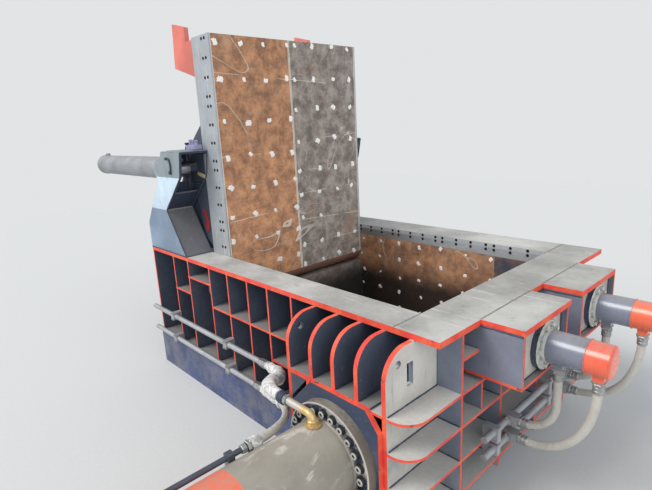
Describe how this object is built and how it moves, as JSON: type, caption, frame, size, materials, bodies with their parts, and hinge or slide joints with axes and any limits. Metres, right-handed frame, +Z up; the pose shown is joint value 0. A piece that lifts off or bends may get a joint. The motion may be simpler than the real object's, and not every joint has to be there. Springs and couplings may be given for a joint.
{
  "type": "recycling baler",
  "caption": "Hydraulic scrap baler: open-topped ribbed steel chamber with a hinged lid, main and side rams, sliding discharge gate and lid-lock cylinders.",
  "frame": {"origin": "on the floor, under the centre of the chamber", "axes": "+X along the chamber towards the lid-lock end, +Y to the discharge side, +Z up"},
  "size_m": [5.123, 3.7, 3.155],
  "materials": {
    "base_frame": "worn",
    "side_sills": "worn",
    "floor_plate": "dusty",
    "near_wall": "worn",
    "ram_bridge": "worn",
    "main_housing": "worn",
    "end_frame": "worn",
    "end_liner": "rusted",
    "near_liner": "rusted",
    "shear_blades": "dusty",
    "far_wall": "worn",
    "far_lintel": "worn",
    "far_liner": "rusted",
    "far_top_strip": "dusty",
    "top_near": "dusty",
    "top_far": "dusty",
    "top_end": "dusty",
    "top_left": "dusty",
    "gate_rails": "worn",
    "gate_cylinder": "worn",
    "left_end_plate": "worn",
    "side_bulkhead": "worn",
    "side_cylinder": "primer",
    "lock_box_near": "worn",
    "lock_box_far": "worn",
    "lock_cylinder_near": "worn",
    "lock_cylinder_far": "worn",
    "main_mount_plate": "worn",
    "main_cylinder": "primer",
    "main_flange_bolts": "oiled",
    "main_elbow": "dull",
    "tower_near": "worn",
    "tower_far": "worn",
    "hinge_pins": "dusty",
    "near_pipes": "dusty",
    "end_pipes": "dusty",
    "hose_main_front": "woven sleeve",
    "hose_main_rear": "woven sleeve",
    "hose_near_front": "woven sleeve",
    "hose_near_rear": "woven sleeve",
    "hose_far_front": "woven sleeve",
    "hose_far_rear": "woven sleeve",
    "main_ram": "dusty",
    "main_rod": "ground",
    "side_ram": "dusty",
    "side_rod": "ground",
    "lock_pin_near": "ground",
    "lock_pin_far": "ground",
    "gate": "dusty",
    "gate_rod": "ground",
    "lid_frame": "worn",
    "lid_liner_near": "rusted",
    "lid_liner_far": "rusted",
    "lid_strips": "dusty",
    "lid_lugs": "chipped",
    "lid_ears": "worn",
    "lid_cylinder_near": "primer",
    "lid_cylinder_far": "primer",
    "lid_rod_near": "ground",
    "lid_rod_far": "ground"
  },
  "bodies": {
    "frame": {"base_frame": "base_frame", "side_sills": "side_sills", "floor_plate": "floor_plate", "near_wall": "near_wall", "ram_bridge": "ram_bridge", "main_housing": "main_housing", "end_frame": "end_frame", "end_liner": "end_liner", "near_liner": "near_liner", "shear_blades": "shear_blades", "far_wall": "far_wall", "far_lintel": "far_lintel", "far_liner": "far_liner", "far_top_strip": "far_top_strip", "top_near": "top_near", "top_far": "top_far", "top_end": "top_end", "top_left": "top_left", "gate_rails": "gate_rails", "gate_cylinder": "gate_cylinder", "left_end_plate": "left_end_plate", "side_bulkhead": "side_bulkhead", "side_cylinder": "side_cylinder", "lock_box_near": "lock_box_near", "lock_box_far": "lock_box_far", "lock_cylinder_near": "lock_cylinder_near", "lock_cylinder_far": "lock_cylinder_far", "main_mount_plate": "main_mount_plate", "main_cylinder": "main_cylinder", "main_flange_bolts": "main_flange_bolts", "main_elbow": "main_elbow", "tower_near": "tower_near", "tower_far": "tower_far", "hinge_pins": "hinge_pins", "near_pipes": "near_pipes", "end_pipes": "end_pipes", "hose_main_front": "hose_main_front", "hose_main_rear": "hose_main_rear", "hose_near_front": "hose_near_front", "hose_near_rear": "hose_near_rear", "hose_far_front": "hose_far_front", "hose_far_rear": "hose_far_rear"},
    "main_ram": {"main_ram": "main_ram", "main_rod": "main_rod"},
    "side_ram": {"side_ram": "side_ram", "side_rod": "side_rod"},
    "lock_near": {"lock_pin_near": "lock_pin_near"},
    "lock_far": {"lock_pin_far": "lock_pin_far"},
    "gate": {"gate": "gate", "gate_rod": "gate_rod"},
    "lid": {"lid_frame": "lid_frame", "lid_liner_near": "lid_liner_near", "lid_liner_far": "lid_liner_far", "lid_strips": "lid_strips", "lid_lugs": "lid_lugs", "lid_ears": "lid_ears"},
    "lid_cylinder_near": {"lid_cylinder_near": "lid_cylinder_near"},
    "lid_cylinder_far": {"lid_cylinder_far": "lid_cylinder_far"},
    "lid_rod_near": {"lid_rod_near": "lid_rod_near"},
    "lid_rod_far": {"lid_rod_far": "lid_rod_far"}
  },
  "joints": [
    {"name": "lid_hinge", "type": "hinge", "parent": "frame", "child": "lid", "pos_m": [-1.097, 0, 0.912], "axis": [0, 1, 0], "range_deg": [0, 90]},
    {"name": "main_ram_slide", "type": "slide", "parent": "frame", "child": "main_ram", "axis": [0, 1, 0], "range_m": [0, 0.9]},
    {"name": "side_ram_slide", "type": "slide", "parent": "frame", "child": "side_ram", "axis": [1, 0, 0], "range_m": [0, 1.48]},
    {"name": "lock_near_slide", "type": "slide", "parent": "frame", "child": "lock_near", "axis": [-1, 0, 0], "range_m": [0, 0.24]},
    {"name": "lock_far_slide", "type": "slide", "parent": "frame", "child": "lock_far", "axis": [-1, 0, 0], "range_m": [0, 0.24]},
    {"name": "gate_slide", "type": "slide", "parent": "frame", "child": "gate", "axis": [-1, 0, 0], "range_m": [0, 0.54]},
    {"name": "lid_cylinder_near_swivel", "type": "hinge", "parent": "frame", "child": "lid_cylinder_near", "pos_m": [-1.64, -0.9495, 1.95], "axis": [0, 1, 0], "range_deg": [0, 23.48]},
    {"name": "lid_rod_near_slide", "type": "slide", "parent": "lid_cylinder_near", "child": "lid_rod_near", "axis": [1, 0, 0], "range_m": [0, 1.5335]},
    {"name": "lid_cylinder_far_swivel", "type": "hinge", "parent": "frame", "child": "lid_cylinder_far", "pos_m": [-1.64, 0.9495, 1.95], "axis": [0, 1, 0], "range_deg": [0, 23.48]},
    {"name": "lid_rod_far_slide", "type": "slide", "parent": "lid_cylinder_far", "child": "lid_rod_far", "axis": [1, 0, 0], "range_m": [0, 1.5335]}
  ],
  "couplings": [
    {"joint": "lid_cylinder_near_swivel", "follows": "lid_hinge", "ratio": 0.26028},
    {"joint": "lid_rod_near_slide", "follows": "lid_hinge", "m_per_rad": 0.97595},
    {"joint": "lid_cylinder_far_swivel", "follows": "lid_hinge", "ratio": 0.26028},
    {"joint": "lid_rod_far_slide", "follows": "lid_hinge", "m_per_rad": 0.97595}
  ]
}
